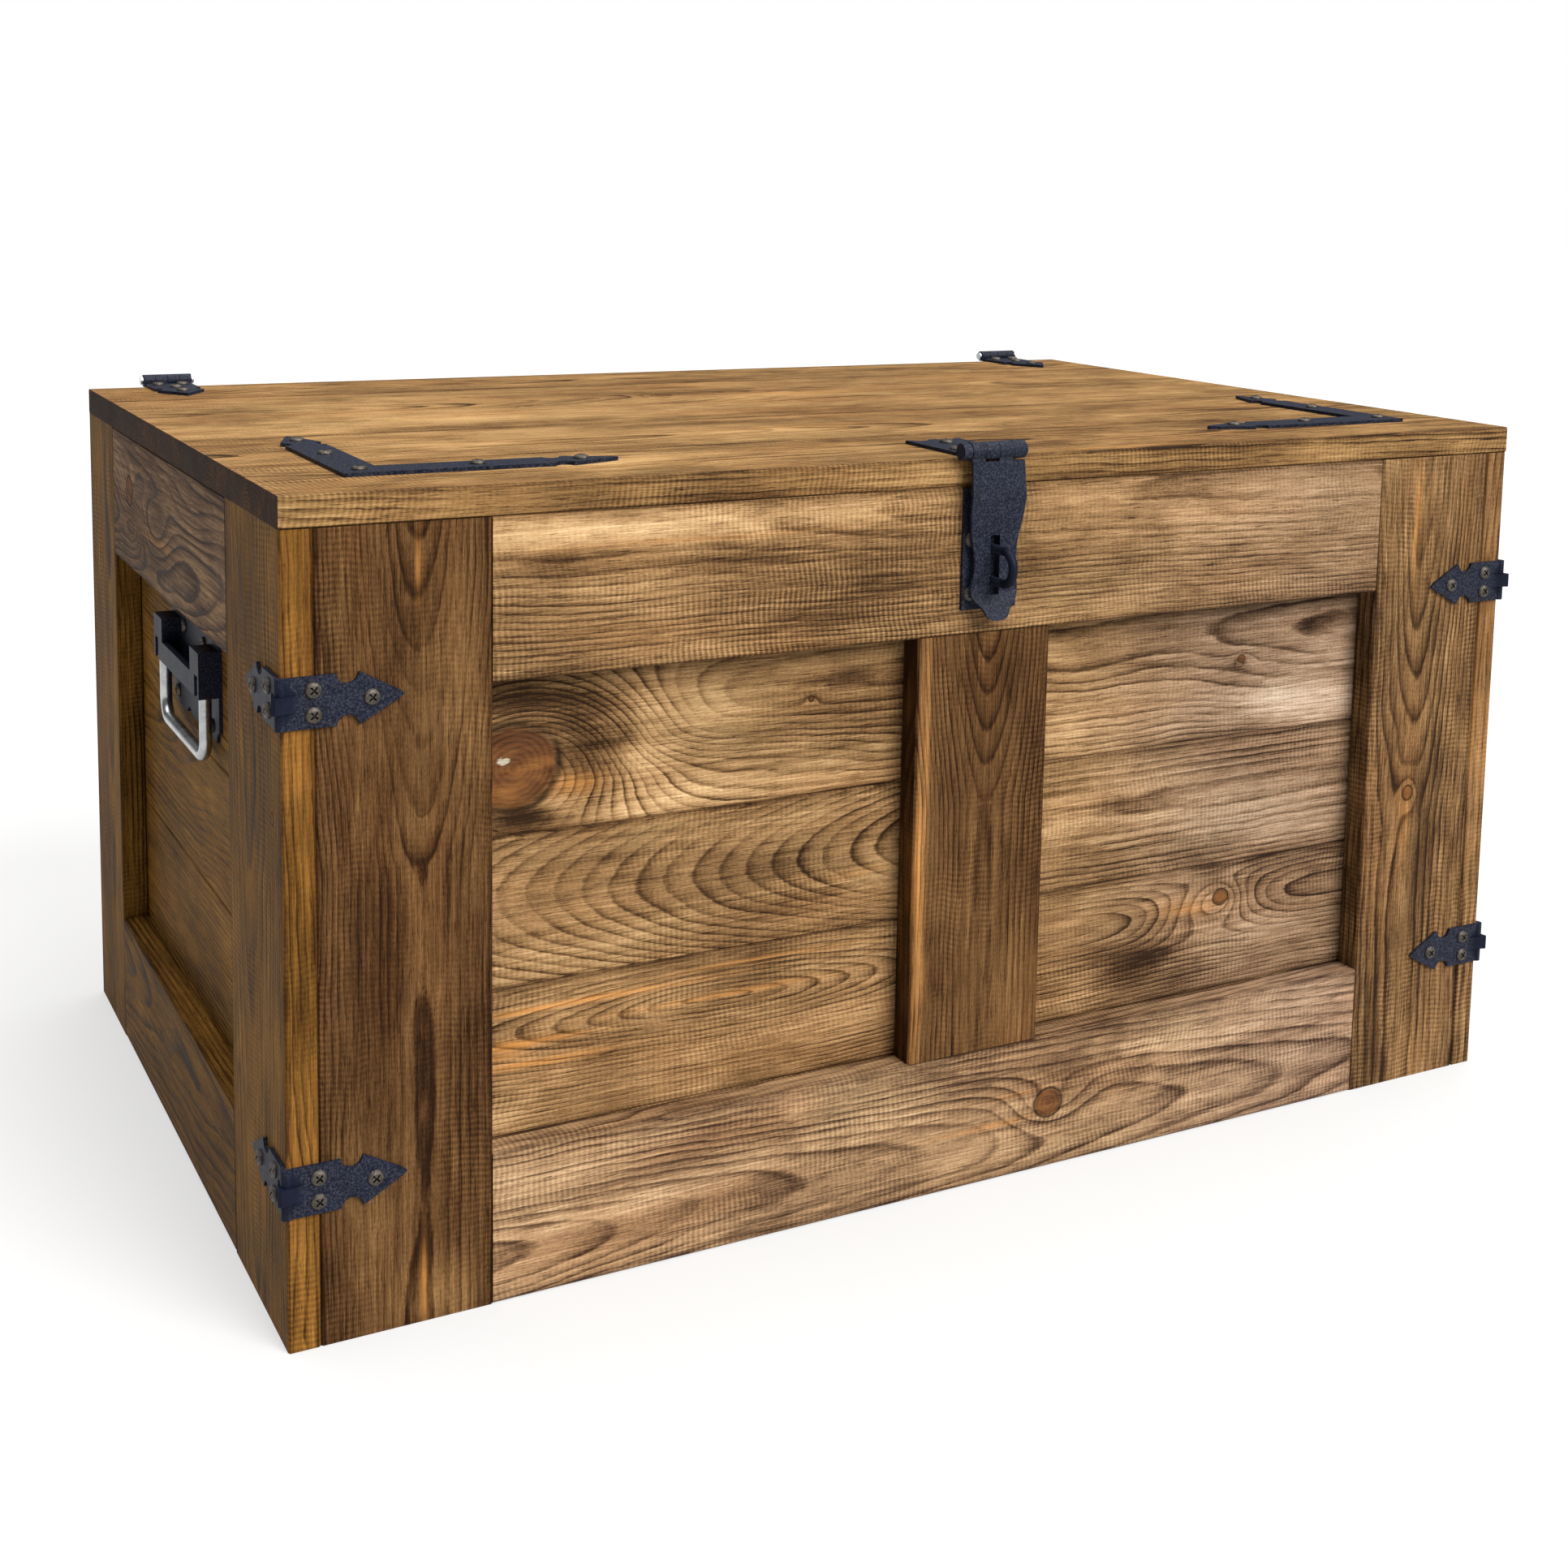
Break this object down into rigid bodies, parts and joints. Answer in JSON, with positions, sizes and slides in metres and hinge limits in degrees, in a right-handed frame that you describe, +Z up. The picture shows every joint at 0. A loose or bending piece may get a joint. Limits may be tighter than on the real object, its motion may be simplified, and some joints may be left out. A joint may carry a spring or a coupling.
{
  "type": "wooden storage chest",
  "caption": "Rectangular framed board chest with a flat hinged lid, a front hasp over a staple, black corner brackets and a swinging ring handle on each side.",
  "frame": {"origin": "centre of the chest's footprint, on the underside of the floor, level with the bottoms of the walls", "axes": "+X to the chest's right seen from the front, the long way; +Y from the front with the hasp to the back with the hinges; +Z up"},
  "size_m": [0.7904, 0.5355, 0.429],
  "materials": {
    "brown_frame": "walnut stain, rough-sawn, satin",
    "dark_frame": "dark walnut stain, rough-sawn, satin",
    "brown_board": "walnut stain, rough-sawn, satin",
    "pale_board": "thin walnut stain over pine, satin",
    "lid_wood": "golden brown stain over pine, satin",
    "black_iron": "blue-black matte powder coat",
    "zinc_wire": "dull galvanised steel",
    "screw_steel": "dull zinc screw heads"
  },
  "bodies": {
    "chest": {"front_stile_left": "brown_frame", "front_stile_right": "brown_frame", "front_stile_centre": "dark_frame", "front_rail_top": "brown_frame", "front_rail_bottom": "dark_frame", "side_stile_front_left": "brown_frame", "side_stile_front_right": "brown_frame", "side_stile_back_left": "brown_frame", "side_stile_back_right": "brown_frame", "side_rail_top_left": "brown_frame", "side_rail_top_right": "brown_frame", "side_rail_bottom_left": "brown_frame", "side_rail_bottom_right": "brown_frame", "front_board_1": "pale_board", "front_board_2": "pale_board", "front_board_3": "pale_board", "front_board_4": "pale_board", "front_board_5": "pale_board", "back_board_1": "brown_board", "back_board_2": "brown_board", "back_board_3": "brown_board", "back_board_4": "brown_board", "back_board_5": "brown_board", "side_boards_left": "brown_board", "side_boards_right": "brown_board", "corner_posts": "brown_board", "floor_cleats": "brown_board", "floor_boards": "pale_board", "corner_brackets": "black_iron", "corner_bracket_screws": "screw_steel", "hinge_back_leaves": "black_iron", "hinge_back_screws": "screw_steel", "hinge_pins": "zinc_wire", "staple_plate": "black_iron", "staple_screws": "screw_steel", "staple": "black_iron", "handle_plates": "black_iron", "handle_screws": "screw_steel", "handle_clamps": "black_iron"},
    "lid": {"lid_plank_1": "lid_wood", "lid_plank_2": "lid_wood", "lid_plank_3": "lid_wood", "lid_plank_4": "lid_wood", "lid_batten_left": "brown_board", "lid_batten_right": "brown_board", "batten_screws": "screw_steel", "lid_brackets": "black_iron", "lid_bracket_screws": "screw_steel", "hinge_lid_leaves": "black_iron", "hinge_lid_screws": "screw_steel", "hasp_leaf": "black_iron", "hasp_leaf_screws": "screw_steel", "hasp_pin": "black_iron"},
    "hasp": {"hasp_strap": "black_iron"},
    "handle_left": {"handle_ring_left": "zinc_wire"},
    "handle_right": {"handle_ring_right": "zinc_wire"}
  },
  "joints": [
    {"name": "lid_hinge", "type": "hinge", "parent": "chest", "child": "lid", "pos_m": [0, 0.254, 0.424], "axis": [-1, 0, 0], "range_deg": [0, 110]},
    {"name": "hasp_swing", "type": "hinge", "parent": "lid", "child": "hasp", "pos_m": [0, -0.255, 0.424], "axis": [-1, 0, 0], "range_deg": [0, 240]},
    {"name": "ring_left_lift", "type": "hinge", "parent": "chest", "child": "handle_left", "pos_m": [-0.382, 0, 0.287], "axis": [0, 1, 0], "range_deg": [0, 90]},
    {"name": "ring_right_lift", "type": "hinge", "parent": "chest", "child": "handle_right", "pos_m": [0.382, 0, 0.287], "axis": [0, -1, 0], "range_deg": [0, 90]}
  ]
}
